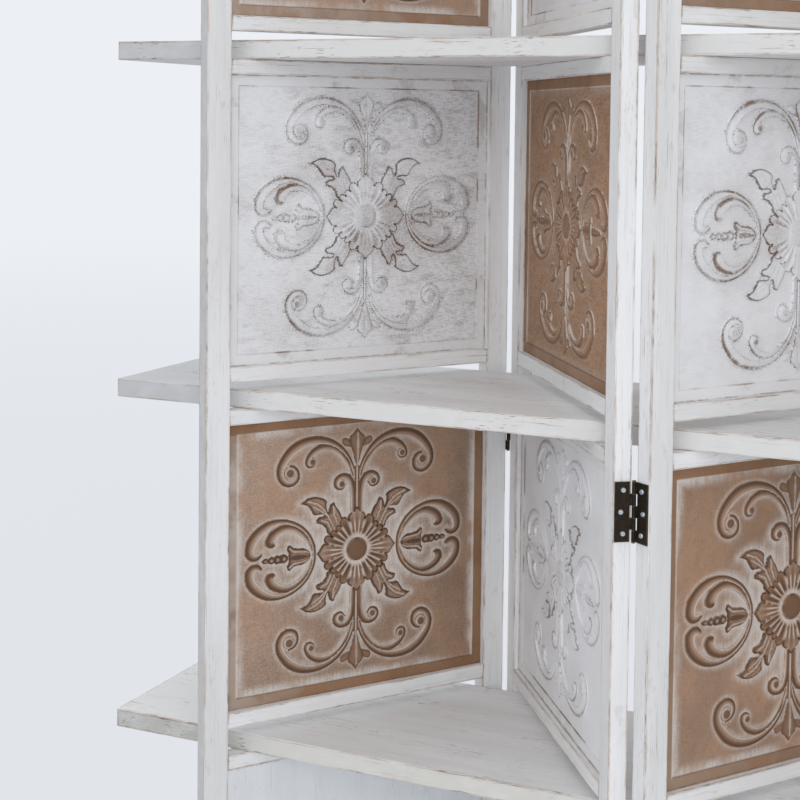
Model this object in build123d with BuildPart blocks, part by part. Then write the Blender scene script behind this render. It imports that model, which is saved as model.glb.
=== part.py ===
"""Folding room divider: four framed leaves in a zigzag, three shelf boards through their slots."""

from build123d import *
import os
from math import cos, hypot, radians, sin

os.makedirs("parts", exist_ok=True)

# Leaf frame, in millimetres
leaf_width = 400.0
leaf_thickness = 19.0
stile_width = 29.0
rail_height = 17.0
edge_radius = 0.8

# Heights of the openings in a leaf, from the floor up
foot_clearance = 60.0
plain_height = 436.0
infill_height = 325.0
slot_air = 10.0
carved_tiers = ["lower", "middle", "top"]

# Joinery
tenon_length = 8.0
tenon_thickness = 7.0
tenon_shoulder = 3.0
tongue_depth = 5.0
tongue_haunch = 1.0

# Infill panels: recess is from the leaf's front face to the panel's raised border
panel_thickness = 5.0
panel_recess = 7.5
border_width = 12.0
field_step = 0.8
plain_recess = 1.0
plain_thickness = 14.0

# Zigzag: angle between each leaf and the shelf boards as the divider stands
rest_angle = 55.0

# Butt hinges
hinge_gap = 4.4
pin_standoff = 2.0
pin_radius = 1.2
pin_clearance = 0.05
pin_head_radius = 2.0
pin_head_height = 0.8
hinge_height = 60.0
hinge_end_distance = 170.0
middle_hinge_height = 861.5
rear_hinge_lift = 10.0
plate_thickness = 1.4
plate_margin = 1.5
plate_cutback = 1.8
knuckle_radius = 2.2
knuckle_gap = 0.3
knuckle_count = 5

# Hinge screws
screw_radius = 1.1
screw_length = 14.0
screw_clearance = 0.02
screw_head_radius = 2.7
screw_head_height = 1.2
screw_head_taper = 25.0
screw_slot_width = 0.7
screw_slot_depth = 0.5
screw_pitch = 21.7
screw_inset = 8.8
screw_stagger = 2.4

# Shelf boards
shelf_thickness = 21.0
shelf_overhang = 146.0
shelf_seat_gap = 0.3
shelf_front_clearance = 2.2
shelf_rear_clearance = 1.6
shelf_edge_radius = 1.2

# Heights that follow: each opening is (bottom, height), and a rail closes it below and above
slot_height = shelf_thickness + slot_air
tier_pitch = slot_height + rail_height + infill_height + rail_height
plain_bottom = foot_clearance + rail_height
first_slot = plain_bottom + plain_height + rail_height
leaf_height = first_slot + len(carved_tiers) * tier_pitch
slot_bottoms = [first_slot + n * tier_pitch for n in range(len(carved_tiers))]
infill_bottoms = [bottom + slot_height + rail_height for bottom in slot_bottoms]
openings = [(plain_bottom, plain_height)] + [(bottom, infill_height) for bottom in infill_bottoms]
opening_width = leaf_width - 2 * stile_width
front_hinges = [hinge_end_distance, middle_hinge_height, leaf_height - hinge_end_distance]
rear_hinges = [height + rear_hinge_lift for height in front_hinges]
hinge_heights = {"left": rear_hinges, "centre": front_hinges, "right": rear_hinges}

# Plan of one leaf: x runs from its left end to its right end, y from its front face to its back
heading = radians(rest_angle)
pin_x_left = -hinge_gap / 2
pin_x_right = leaf_width + hinge_gap / 2
pin_y_front = -pin_standoff
pin_y_back = leaf_thickness + pin_standoff

# Depth of the whole zigzag about the centre hinge pins, to the hinge plates' outer corners
front_reach = (hinge_gap / 2 - plate_thickness) * sin(heading) - (pin_y_back - plate_margin) * cos(heading)
back_reach = (pin_x_right + plate_thickness) * sin(heading) - (pin_standoff + plate_margin) * cos(heading)
centre_pin_y = -(front_reach + back_reach) / 2


def leaf_plane(pin, pin_x, pin_y, angle):
    """Plane of a leaf's plan whose point (pin_x, pin_y) lies on the given hinge pin."""
    along = Vector(cos(angle), sin(angle), 0)
    across = Vector(-sin(angle), cos(angle), 0)
    return Plane(origin=pin - along * pin_x - across * pin_y, x_dir=along, z_dir=(0, 0, 1))


def plan_at(leaf, x, y, z):
    """Horizontal sketch plane at a point of a leaf, with X along the leaf."""
    return Plane(origin=leaf.from_local_coords((x, y, z)), x_dir=leaf.x_dir, z_dir=leaf.z_dir)


def section_at(leaf, x, y, z):
    """Sketch plane across a leaf: its X is the leaf's depth, its Y is up, its normal runs along the leaf."""
    return Plane(origin=leaf.from_local_coords((x, y, z)), x_dir=leaf.y_dir, z_dir=leaf.x_dir)


def face_at(leaf, x, y, z):
    """Sketch plane parallel to a leaf's front face, with its normal towards the front."""
    return Plane(origin=leaf.from_local_coords((x, y, z)), x_dir=leaf.x_dir, z_dir=-leaf.y_dir)


centre_pin = Vector(0, centre_pin_y, 0)
leaf_b = leaf_plane(centre_pin, pin_x_right, pin_y_back, -heading)
leaf_c = leaf_plane(centre_pin, pin_x_left, pin_y_back, heading)
left_pin = leaf_b.from_local_coords((pin_x_left, pin_y_front, 0))
right_pin = leaf_c.from_local_coords((pin_x_right, pin_y_front, 0))
leaf_a = leaf_plane(left_pin, pin_x_right, pin_y_front, heading)
leaf_d = leaf_plane(right_pin, pin_x_left, pin_y_front, -heading)
leaves = {"a": leaf_a, "b": leaf_b, "c": leaf_c, "d": leaf_d}

# Ends of leaves that carry hinge plates: hinge line, leaf, side of the leaf, pin side, first knuckle
hinge_ends = [
    ("left", "a", "right", "front", 0),
    ("left", "b", "left", "front", 1),
    ("centre", "b", "right", "back", 1),
    ("centre", "c", "left", "back", 0),
    ("right", "c", "right", "front", 0),
    ("right", "d", "left", "front", 1),
]
hinged_sides = {(leaf, side): (line, pin_side) for line, leaf, side, pin_side, _ in hinge_ends}


def end_sign(side):
    """Direction along the leaf that points out of its end face on this side."""
    return 1 if side == "right" else -1


def end_x(side):
    """Place of the end face on this side of a leaf."""
    return leaf_width if side == "right" else 0


def screw_places(line, pin_side):
    """Depth and height of every hinge screw on one end face: the middle screw is set further in."""
    places = []
    for centre in hinge_heights[line]:
        for row in (-1, 0, 1):
            inset = screw_inset + (0 if row else screw_stagger)
            depth = leaf_thickness - inset if pin_side == "back" else inset
            places.append((depth, centre + row * screw_pitch))
    return places


def make_stile(letter, leaf, side):
    """Upright of a leaf, with grooves for the infills, mortises for the rails and screw holes."""
    outward = end_sign(side)
    inner_x = end_x(side) - outward * stile_width
    with BuildPart() as stile:
        with BuildSketch(plan_at(leaf, inner_x + outward * stile_width / 2, leaf_thickness / 2, 0)):
            RectangleRounded(stile_width, leaf_thickness, edge_radius)
        extrude(amount=leaf_height)
        groove_x = inner_x + outward * tongue_depth / 2
        groove_y = panel_recess + panel_thickness / 2
        mortise_x = inner_x + outward * tenon_length / 2
        for bottom, height in openings:
            with BuildSketch(plan_at(leaf, groove_x, groove_y, bottom - tongue_depth)):
                Rectangle(tongue_depth, panel_thickness)
            extrude(amount=height + 2 * tongue_depth, mode=Mode.SUBTRACT)
            for tenon_z in tenon_heights(bottom, height):
                with BuildSketch(plan_at(leaf, mortise_x, leaf_thickness / 2, tenon_z)):
                    Rectangle(tenon_length, tenon_thickness)
                extrude(amount=tenon_height, mode=Mode.SUBTRACT)
        if (letter, side) in hinged_sides:
            line, pin_side = hinged_sides[(letter, side)]
            with BuildSketch(section_at(leaf, end_x(side), 0, 0)):
                with Locations(*screw_places(line, pin_side)):
                    Circle(screw_radius + screw_clearance)
            extrude(amount=-outward * screw_length, mode=Mode.SUBTRACT)
    stile.part.label = f"leaf_{letter}_{side}_stile"
    export_step(stile.part, f"parts/{stile.part.label}.step")


# A tenon leaves a haunch beside the infill's groove and a shoulder at the rail's free edge
tenon_height = rail_height - tongue_depth - tongue_haunch - tenon_shoulder


def tenon_heights(bottom, height):
    """Undersides of the tenons of the two rails that close an opening."""
    below = bottom - rail_height + tenon_shoulder
    above = bottom + height + tongue_depth + tongue_haunch
    return (below, above)


def make_rails(name, leaf):
    """Eight cross rails of a leaf, one below and one above each infill, tenoned into the stiles."""
    with BuildPart() as rails:
        for bottom, height in openings:
            for rail_bottom in (bottom - rail_height, bottom + height):
                middle = rail_bottom + rail_height / 2
                with BuildSketch(section_at(leaf, stile_width, leaf_thickness / 2, middle)):
                    RectangleRounded(leaf_thickness, rail_height, edge_radius)
                extrude(amount=opening_width)
            for tenon_z in tenon_heights(bottom, height):
                middle = tenon_z + tenon_height / 2
                with BuildSketch(section_at(leaf, stile_width - tenon_length, leaf_thickness / 2, middle)):
                    Rectangle(tenon_thickness, tenon_height)
                extrude(amount=opening_width + 2 * tenon_length)
            groove_y = panel_recess + panel_thickness / 2
            with BuildSketch(section_at(leaf, stile_width, groove_y, bottom + height / 2)):
                Rectangle(panel_thickness, height + 2 * tongue_depth)
            extrude(amount=opening_width, mode=Mode.SUBTRACT)
    rails.part.label = name
    export_step(rails.part, f"parts/{name}.step")


def make_infill(name, leaf, bottom):
    """Infill board of a carved tier: a raised flat border around a lower field."""
    middle = bottom + infill_height / 2
    with BuildPart() as infill:
        with BuildSketch(face_at(leaf, leaf_width / 2, panel_recess, middle)):
            Rectangle(opening_width + 2 * tongue_depth, infill_height + 2 * tongue_depth)
        extrude(amount=-panel_thickness)
        with BuildSketch(face_at(leaf, leaf_width / 2, panel_recess, middle)):
            Rectangle(opening_width - 2 * border_width, infill_height - 2 * border_width)
        extrude(amount=-field_step, mode=Mode.SUBTRACT)
    infill.part.label = name
    export_step(infill.part, f"parts/{name}.step")


def make_plain_panel(name, leaf):
    """Plain bottom board, almost flush with the rails, with a tongue all round."""
    middle = plain_bottom + plain_height / 2
    with BuildPart() as plain:
        with BuildSketch(face_at(leaf, leaf_width / 2, plain_recess, middle)):
            Rectangle(opening_width, plain_height)
        extrude(amount=-plain_thickness)
        with BuildSketch(face_at(leaf, leaf_width / 2, panel_recess, middle)):
            Rectangle(opening_width + 2 * tongue_depth, plain_height + 2 * tongue_depth)
        extrude(amount=-panel_thickness)
    plain.part.label = name
    export_step(plain.part, f"parts/{name}.step")


def make_plates(name, line, leaf, side, pin_side, first_knuckle):
    """Three hinge plates on a leaf's end face, each with its own share of the knuckles."""
    outward = end_sign(side)
    pin_x = pin_x_right if side == "right" else pin_x_left
    pin_y = pin_y_back if pin_side == "back" else pin_y_front
    to_pin = 1 if pin_side == "back" else -1
    far_y = plate_margin if pin_side == "back" else leaf_thickness - plate_margin
    clear_y = pin_y - to_pin * (knuckle_radius + plate_cutback)
    plate_x = end_x(side) + outward * plate_thickness / 2
    knuckle_pitch = hinge_height / knuckle_count
    with BuildPart() as plates:
        for centre in hinge_heights[line]:
            base = centre - hinge_height / 2
            with BuildSketch(plan_at(leaf, plate_x, (far_y + clear_y) / 2, base)):
                Rectangle(plate_thickness, abs(clear_y - far_y))
            extrude(amount=hinge_height)
            for knuckle in range(first_knuckle, knuckle_count, 2):
                low = base + knuckle * knuckle_pitch + knuckle_gap / 2
                with BuildSketch(plan_at(leaf, plate_x, (clear_y + pin_y) / 2, low)):
                    Rectangle(plate_thickness, abs(pin_y - clear_y))
                extrude(amount=knuckle_pitch - knuckle_gap)
                with BuildSketch(plan_at(leaf, pin_x, pin_y, low)):
                    Circle(knuckle_radius)
                extrude(amount=knuckle_pitch - knuckle_gap)
            with BuildSketch(plan_at(leaf, pin_x, pin_y, base)):
                Circle(pin_radius + pin_clearance)
            extrude(amount=hinge_height, mode=Mode.SUBTRACT)
        with BuildSketch(section_at(leaf, end_x(side), 0, 0)):
            with Locations(*screw_places(line, pin_side)):
                Circle(screw_radius + screw_clearance)
        extrude(amount=outward * plate_thickness, mode=Mode.SUBTRACT)
    plates.part.label = name
    export_step(plates.part, f"parts/{name}.step")


def make_screws(name, line, leaf, side, pin_side):
    """Nine cross-slotted screws that hold the plates of one end face."""
    places = screw_places(line, pin_side)
    outward = end_sign(side)
    seat_x = end_x(side) + outward * plate_thickness
    top_x = seat_x + outward * screw_head_height
    with BuildPart() as screws:
        with BuildSketch(section_at(leaf, seat_x, 0, 0)):
            with Locations(*places):
                Circle(screw_radius)
        extrude(amount=-outward * (screw_length + plate_thickness))
        with BuildSketch(section_at(leaf, seat_x, 0, 0)):
            with Locations(*places):
                Circle(screw_head_radius)
        extrude(amount=outward * screw_head_height, taper=screw_head_taper)
        with BuildSketch(section_at(leaf, top_x, 0, 0)):
            with Locations(*places):
                Rectangle(screw_head_radius, screw_slot_width)
                Rectangle(screw_slot_width, screw_head_radius)
        extrude(amount=-outward * screw_slot_depth, mode=Mode.SUBTRACT)
    screws.part.label = name
    export_step(screws.part, f"parts/{name}.step")


def make_pins(line, pin):
    """Three hinge pins of one hinge line, each with a small head at both ends."""
    with BuildPart() as pins:
        for centre in hinge_heights[line]:
            top = centre + hinge_height / 2 + knuckle_gap
            foot = centre - hinge_height / 2 - knuckle_gap
            with BuildSketch(Plane(origin=pin + Vector(0, 0, foot))):
                Circle(pin_radius)
            extrude(amount=top - foot)
            with BuildSketch(Plane(origin=pin + Vector(0, 0, foot))):
                Circle(pin_head_radius)
            extrude(amount=-pin_head_height)
            with BuildSketch(Plane(origin=pin + Vector(0, 0, top))):
                Circle(pin_head_radius)
            extrude(amount=pin_head_height)
    pins.part.label = f"{line}_hinge_pins"
    export_step(pins.part, f"parts/{pins.part.label}.step")


# Shelf boards pass between the stiles of every leaf: the front edge clears the centre stiles'
# swing as the leaves fold, and the rear edge clears the rear stiles as the divider stands
shelf_front = centre_pin_y + hypot(stile_width + hinge_gap / 2, pin_standoff) + shelf_front_clearance
shelf_back = leaf_b.from_local_coords((stile_width, 0, 0)).Y - shelf_rear_clearance
shelf_length = 2 * (shelf_overhang - leaf_a.origin.X)


def make_shelf(name, slot_bottom):
    """One long shelf board lying on the rails below a slot."""
    middle = slot_bottom + shelf_seat_gap + shelf_thickness / 2
    start = Plane(
        origin=(-shelf_length / 2, (shelf_front + shelf_back) / 2, middle),
        x_dir=(0, 1, 0),
        z_dir=(1, 0, 0),
    )
    with BuildPart() as shelf:
        with BuildSketch(start):
            RectangleRounded(shelf_back - shelf_front, shelf_thickness, shelf_edge_radius)
        extrude(amount=shelf_length)
        ends = shelf.faces().filter_by(Axis.X)
        chamfer(ends.edges(), edge_radius)
    shelf.part.label = name
    export_step(shelf.part, f"parts/{name}.step")


for letter, leaf in leaves.items():
    for side in ("left", "right"):
        make_stile(letter, leaf, side)
    make_rails(f"leaf_{letter}_rails", leaf)
    make_plain_panel(f"leaf_{letter}_plain_panel", leaf)
    for tier, bottom in zip(carved_tiers, infill_bottoms):
        make_infill(f"leaf_{letter}_{tier}_infill", leaf, bottom)

for line, letter, side, pin_side, first_knuckle in hinge_ends:
    leaf = leaves[letter]
    make_plates(f"{line}_hinge_plates_{letter}", line, leaf, side, pin_side, first_knuckle)
    make_screws(f"{line}_hinge_screws_{letter}", line, leaf, side, pin_side)

for line, pin in (("left", left_pin), ("centre", centre_pin), ("right", right_pin)):
    make_pins(line, pin)

for tier, slot_bottom in zip(carved_tiers, slot_bottoms):
    make_shelf(f"{tier}_shelf", slot_bottom)
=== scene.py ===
"""Folding room divider with carved infill boards and three long shelf boards."""

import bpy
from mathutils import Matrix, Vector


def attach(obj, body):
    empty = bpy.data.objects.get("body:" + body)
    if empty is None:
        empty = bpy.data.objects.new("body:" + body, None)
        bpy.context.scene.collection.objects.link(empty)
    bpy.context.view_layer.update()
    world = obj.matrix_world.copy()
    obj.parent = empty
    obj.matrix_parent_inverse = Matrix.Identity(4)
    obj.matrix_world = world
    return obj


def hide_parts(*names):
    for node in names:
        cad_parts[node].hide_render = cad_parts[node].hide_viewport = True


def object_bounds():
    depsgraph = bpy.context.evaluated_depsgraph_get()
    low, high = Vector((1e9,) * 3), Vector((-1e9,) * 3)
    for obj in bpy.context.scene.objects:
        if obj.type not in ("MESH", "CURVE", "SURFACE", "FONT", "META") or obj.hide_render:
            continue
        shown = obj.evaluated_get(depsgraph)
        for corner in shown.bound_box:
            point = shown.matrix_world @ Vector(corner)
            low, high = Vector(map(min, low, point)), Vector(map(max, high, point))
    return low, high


bl_info = {
    "name": "Folding Room Divider",
    "version": (1, 0, 0),
    "blender": (4, 5, 0),
    "location": "View3D > Sidebar > Divider",
    "description": "Whitewash, carved boards, hinges and stage of a folding room divider",
    "category": "Object",
}

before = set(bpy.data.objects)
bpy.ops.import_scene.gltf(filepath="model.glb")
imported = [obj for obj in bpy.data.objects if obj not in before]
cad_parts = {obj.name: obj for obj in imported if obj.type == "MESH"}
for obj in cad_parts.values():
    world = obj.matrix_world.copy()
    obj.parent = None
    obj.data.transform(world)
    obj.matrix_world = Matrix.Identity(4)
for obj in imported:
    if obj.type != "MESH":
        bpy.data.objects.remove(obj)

import math

import bmesh
import bpy
import numpy as np
from mathutils import Matrix, Vector
from mathutils.geometry import delaunay_2d_cdt

CAD_BOX = [list(corner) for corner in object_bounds()]

# Each leaf's lower left front corner on the floor, in metres, and its turn about the vertical.
LEAF_PLACES = {
    "a": (-0.4831256, -0.1692794, 55.0),
    "b": (-0.2478946, 0.1583814, -55.0),
    "c": (0.0184641, -0.1692791, 55.0),
    "d": (0.253695, 0.1583815, -55.0),
}
LEAF_MIDDLE = 0.2
TIER_HEIGHTS = {"lower": 0.7405, "middle": 1.1305, "top": 1.5205}
TAN_BOARDS = {("a", "top"), ("a", "lower"), ("b", "middle"), ("c", "top"), ("c", "lower"), ("d", "middle")}
# How far each carved board is hazed or rubbed, from 0 to 1.
BOARD_WEAR = {("a", "middle"): 1.0, ("a", "lower"): 1.0, ("b", "lower"): 0.12, ("b", "middle"): 0.1,
              ("b", "top"): 0.6, ("a", "top"): 0.95, ("c", "middle"): 0.6}
OTHER_WEAR = 0.5
# How dark each board is in its middle, and how much darker at its right and at its top: stain and painted shade.
BOARD_SHADE_AND_STAIN = {("a", "lower"): (0.33, 0.28, -0.1), ("a", "middle"): (0.66, 0.4, 0.0), ("a", "top"): (0.22, 0.1, 0.0),
               ("b", "middle"): (-0.08, 0.0, 0.26), ("b", "lower"): (0.03, -0.14, 0.0)}
OTHER_SHADE_AND_STAIN = (0.35, 0.1, 0.1)
# Between these distances from the middle a shelf turns to the light and shade painted on its ends, in metres.
OVERHANG_FADE = (0.40, 0.56)

# The carved board, in millimetres: half sizes, and depths from the leaf's front.
BOARD_HALF = (176.0, 167.5)
FIELD_HALF = (159.0, 150.5)
STEP_WIDTH = 0.7
BORDER_DEPTH = 7.5
FIELD_DEPTH = 8.3
BACK_DEPTH = 12.5
# Where the carving's middle lies on each board, right of and above the board's own.
MOTIF_CENTRES = {("a", "lower"): (-4.5, 2.0), ("a", "middle"): (3.5, 2.2), ("b", "middle"): (2.0, -0.3),
                 ("b", "lower"): (0.0, 3.5)}
OTHER_CENTRE = (-1.0, 1.0)

# Points of the carved mesh: how far the carving's own lie apart, then the field's grids round it, each with its
# spacing and the distances from the carving that it fills, and how far the field's points lie apart.
CARVING_APART = 0.42
FIELD_GRIDS = ((4.2, 1.3, 9.0), (10.0, 9.0, 400.0))
FIELD_APART = 2.6
# Nothing is cut nearer than this to the field's edge.
FIELD_MARGIN = 3.0
# Distances from the carving are noted up to this one.
FAR_OUT = 20.0
# Arrises stay sharp where their faces meet at more than this, in degrees.
SHARP_ANGLE = 48

# The right upper quarter of the carving, in millimetres from the flower's centre.
# A scroll is a band: points of its middle line with half its width, then its rolled end if it has one.
SCROLLS = {
    "great scroll": (
        [(1.3, 83, 0.9), (2.7, 91, 1.4), (6.3, 99.5, 1.8), (11.5, 109, 2.2), (19, 118.5, 2.8), (30.5, 127, 3.6),
         (44.5, 132, 4.4), (59.5, 133, 5.1), (73.5, 130.2, 5.8), (85.5, 123.6, 6.2), (94.2, 114.8, 5.6),
         (99.5, 106, 5.0), (100.3, 97, 4.6), (97.3, 90.3, 4.2), (92, 86.2, 3.8), (86, 85.4, 3.5),
         (80.6, 88, 3.4), (78, 93, 3.2), (78.8, 99, 3.0), (82.5, 103.4, 2.8), (87.5, 105, 2.4)],
        (88.3, 98.2, 6.9)),
    "inner scroll": (
        [(5.6, 87, 0.7), (8, 94, 1.2), (11, 101, 1.8), (16.5, 109, 2.3), (24, 117, 2.9), (34, 122.6, 3.5),
         (44.5, 124, 4.1), (53.8, 121.6, 4.1), (60.6, 117, 3.6), (64.6, 112, 3.0), (65.8, 107, 2.5),
         (63.8, 103.8, 2.2), (60.3, 103.3, 2.0), (57.1, 105.3, 1.9), (56.3, 108.6, 1.8)],
        (59.9, 108.4, 4.9)),
    "small scroll": (
        [(4.9, 46, 3.3), (5.0, 59, 3.4), (5.5, 69, 3.6), (6.9, 77, 4.0), (9.7, 83.2, 4.2), (14.6, 87, 4.0),
         (20.5, 87.5, 3.6), (25.5, 85.2, 3.3), (28.1, 80.8, 3.0), (27.2, 76.6, 2.7), (24, 74.1, 2.4),
         (20, 73.9, 2.2), (17.2, 76.6, 2.0)],
        (21.1, 78.8, 5.3)),
    "heart's outer band": (
        [(55.5, 0, 2.2), (57, 11, 2.2), (62.5, 22.5, 2.3), (71.5, 32.5, 2.4), (84.5, 40, 2.6), (97.5, 43.2, 3.0),
         (109.5, 42.3, 4.2), (119.5, 38.6, 5.5), (129, 32, 6.3), (135.8, 23.8, 6.5), (138.2, 15.5, 6.2),
         (137.2, 9.4, 5.8), (133.4, 6.2, 4.9), (128.6, 6.2, 4.2), (124.9, 8.2, 3.0)],
        None),
    "heart's inner band": (
        [(58.1, 5, 1.4), (61.1, 13.5, 2.2), (67.2, 22.2, 2.8), (76, 30, 3.4), (85.5, 34.4, 4.1), (95.5, 34.7, 4.8),
         (104.5, 31.2, 5.6), (110, 26.6, 6.4), (112.3, 21.4, 6.6), (110.2, 19.4, 5.6)],
        None),
}
# The ridge between the scrolls' stems: where it runs in height, and its middle, shoulders and drawn edges across it.
RIDGE_ENDS = (46.0, 98.0)
RIDGE_ROWS = (0.0, 0.8, 1.6, 2.4)


def doubled(half, across, up):
    """A closed outline from one half of it; across and up are the signs that turn it into the other half."""
    return half + [(across * x, up * y) for x, y in half[-2:0:-1]]


# A leaf is its outline, its veins, how much glaze lies on all of it, how strongly its edge is drawn and how dark
# that edge is.
LEAVES = {
    "leaf spray": (
        [(15.5, 32), (20.3, 41), (22.6, 46), (26.3, 51.2), (28.9, 55.6), (29.9, 58.4), (33, 57.5), (35.5, 54.6),
         (36.8, 50.4), (37.2, 47), (38.4, 47.2), (39.4, 50), (40.2, 53.5), (40, 57.5), (39.4, 59.8), (42, 62.6),
         (47, 65.4), (54, 67.4), (60, 67.4), (66, 65.6), (71.5, 62.4), (74.6, 60.8), (68.5, 59.4), (64, 57),
         (60.8, 52.8), (58, 48.2), (55.5, 45.6), (51.5, 45.8), (46.5, 46), (43, 45), (43, 43.6), (46, 42.9),
         (50, 42.3), (52.6, 39.8), (53.4, 36.2), (50.2, 35.4), (45.4, 33.6), (42, 30.7), (40, 27.4), (38.6, 23),
         (33, 18), (22, 18)],
        [[(30, 27), (34.5, 36), (38.6, 43), (45, 52.5), (53, 59), (64, 62.8)], [(41, 45), (50, 51.5), (58, 56)],
         [(27, 34), (31, 44), (31.8, 53)], [(35, 27), (39.5, 35.6), (47.5, 39.4)]],
        0.28, 1.0, 1.0),
    "crown's middle leaf": (
        doubled([(0, 98), (2.8, 104), (4.6, 111), (6.9, 118), (9.2, 125), (10.3, 130.4), (8.6, 134.4),
                 (3.6, 138.2), (0, 144)], -1, 1),
        [[(0, 100), (0, 120), (0, 137)]],
        0.4, 0.55, 0.72),
    "crown's side leaf": (
        [(7.8, 121), (12, 121.6), (15.8, 122.8), (19.2, 125), (20.6, 127.8), (19.8, 130.8), (17.2, 132.6),
         (13.8, 131.6), (11.2, 130.6), (9.2, 127.4)],
        [],
        0.4, 0.45, 0.62),
    "bud": (
        doubled([(60, 0), (62, 4.6), (66, 7.8), (71, 9.6), (77, 9.8), (82.4, 10.6), (86.6, 15), (89.2, 14.2),
                 (90.6, 9.6), (88.6, 6.6), (88.4, 0)], 1, -1),
        [[(x, way * y) for x, y in ((62, 3.2), (67, 5.6), (76, 6.1), (83, 6.8), (88, 11))] for way in (1, -1)],
        0.35, 0.0, 1.0),
    "bud's heart": (
        doubled([(61.5, 0), (64, 2.8), (70, 4.3), (78, 4.5), (86, 4.8), (88, 0)], 1, -1),
        [],
        0.85, 0.0, 1.0),
}
# Each bead's centre, and its half width and half height.
BEADS = ((94.6, 0, 5.4, 5.2), (102.6, 0, 5.2, 5.0), (110.6, 0, 5.0, 4.2), (118, 0, 4.6, 3.0))

# The flower: each petal's axis and half spread in degrees, its tip's radius and the notches' radius.
PETALS = (
    (0.0, 15.0, 52.5, 43.0, "broad"),
    (22.0, 7.0, 45.8, 40.0, "narrow"),
    (35.3, 6.3, 42.0, 36.6, "narrow"),
    (47.8, 6.2, 40.8, 35.6, "narrow"),
    (63.3, 9.3, 43.6, 36.6, "narrow"),
    (90.0, 17.4, 50.0, 39.6, "broad"),
)
BROAD_TIP = ((0.0, 0.22, 0.55, 0.86, 1.0), (1.0, 0.72, 0.48, 0.28, 0.0))
# Where across a petal its edge has points, and where its surface is cut lengthwise.
EDGE_PLACES = {"broad": (-1, -0.86, -0.55, -0.22, 0, 0.22, 0.55, 0.86, 1),
               "narrow": (-1, -0.97, -0.86, -0.66, -0.36, 0, 0.36, 0.66, 0.86, 0.97, 1)}
CUT_PLACES = {"broad": (-1, -0.7, -0.5, -0.34, -0.14, 0, 0.14, 0.34, 0.5, 0.7, 1),
              "narrow": (-1, -0.78, -0.4, 0, 0.4, 0.78, 1)}
# The petals begin at this radius, round the boss and its rings.
RING_RADIUS = 17.0
BOSS_CUTS = (0, 4, 8, 11.5, 13.0, 13.7, 14.6, 15.8)

# Across a scroll, from its inner to its outer edge: place, height, dark glaze, rubbed white.
SCROLL_SECTION = (
    (-1.0, 0.0, 0.2, 0.6), (-0.82, 0.95, 0.0, 1.0), (-0.55, 0.8, 0.12, 0.15), (-0.1, 0.66, 0.3, 0.0),
    (0.25, 0.46, 0.66, 0.0), (0.6, 0.3, 0.9, 0.0), (0.84, 0.5, 0.66, 0.0), (1.0, 0.0, 0.5, 0.0))
# The same from the ridge's middle outwards, and from the middle of a scroll's rolled end to its edge.
RIDGE_SECTION = ((0.0, 0.62, 0.0, 0.8), (0.8, 0.5, 0.2, 0.5), (1.6, 0.12, 0.9, 0.0), (2.4, 0.3, 0.5, 0.0))
ROLL_SECTION = ((0.0, 1.05, 0.62, 0.0), (0.34, 1.02, 0.66, 0.0), (0.6, 0.96, 0.62, 0.0), (0.76, 0.84, 0.15, 0.6),
                (0.9, 0.66, 0.2, 0.5), (1.0, 0.35, 0.45, 0.0))

# The photograph's viewpoint: the camera's place, and its heading, pitch and roll in degrees.
CAMERA_PLACE = (0.4335513, -1.6817261, 1.242138)
CAMERA_TURNS = (-24.3659, -2.7724, 0.6066)
CAMERA_SHIFT = -0.25
# The soft lights: place, and share of the window's power. All face the same spot.
LAMPS = {"window": ((2.1, -3.64, 1.79), 1.0), "front_screen": ((0.3, -3.38, 3.55), 0.42)}
LAMP_SIZE = 2.6
LIT_SPOT = (0.0, 0.0, 0.9)
SKY_WHITE = (0.985, 0.99, 1.0)
# Over these distances the floor fades into the room behind it, in metres.
FLOOR_FADE = (1.5, 16.0)


# ---------------------------------------------------------------- settings


class CarvingSettings(bpy.types.PropertyGroup):
    relief_height: bpy.props.FloatProperty(
        name="Relief height", description="How far the tallest scrolls stand above the board's field",
        default=0.0026, min=0.0005, max=0.004, subtype="DISTANCE", unit="LENGTH")
    scroll_step: bpy.props.FloatProperty(
        name="Scroll step", description="Longest distance between two cuts across a scroll",
        default=0.0027, min=0.001, max=0.01, subtype="DISTANCE", unit="LENGTH")
    haze_width: bpy.props.FloatProperty(
        name="Haze width", description="How far the white haze reaches round the flower",
        default=0.021, min=0.001, max=0.04, subtype="DISTANCE", unit="LENGTH")


class FinishSettings(bpy.types.PropertyGroup):
    whitewash: bpy.props.FloatVectorProperty(
        name="Whitewash", description="Whitewash where it lies thick",
        default=(0.86, 0.862, 0.868), size=3, min=0, max=1, subtype="COLOR")
    thin_wash: bpy.props.FloatVectorProperty(
        name="Thin wash", description="Whitewash where the grain shows through",
        default=(0.765, 0.763, 0.76), size=3, min=0, max=1, subtype="COLOR")
    bare_wood: bpy.props.FloatVectorProperty(
        name="Bare wood", description="Wood rubbed bare along the edges",
        default=(0.42, 0.27, 0.16), size=3, min=0, max=1, subtype="COLOR")
    tan_field: bpy.props.FloatVectorProperty(
        name="Tan field", description="Ground of the tan carved boards",
        default=(0.45, 0.26, 0.15), size=3, min=0, max=1, subtype="COLOR")
    dark_glaze: bpy.props.FloatVectorProperty(
        name="Dark glaze", description="Brown glaze left in the carving's hollows",
        default=(0.088, 0.047, 0.028), size=3, min=0, max=1, subtype="COLOR")
    edge_wear: bpy.props.FloatProperty(
        name="Edge wear", description="How far from its arrises the wood is rubbed",
        default=0.0035, min=0.0002, max=0.01, subtype="DISTANCE", unit="LENGTH")


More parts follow.
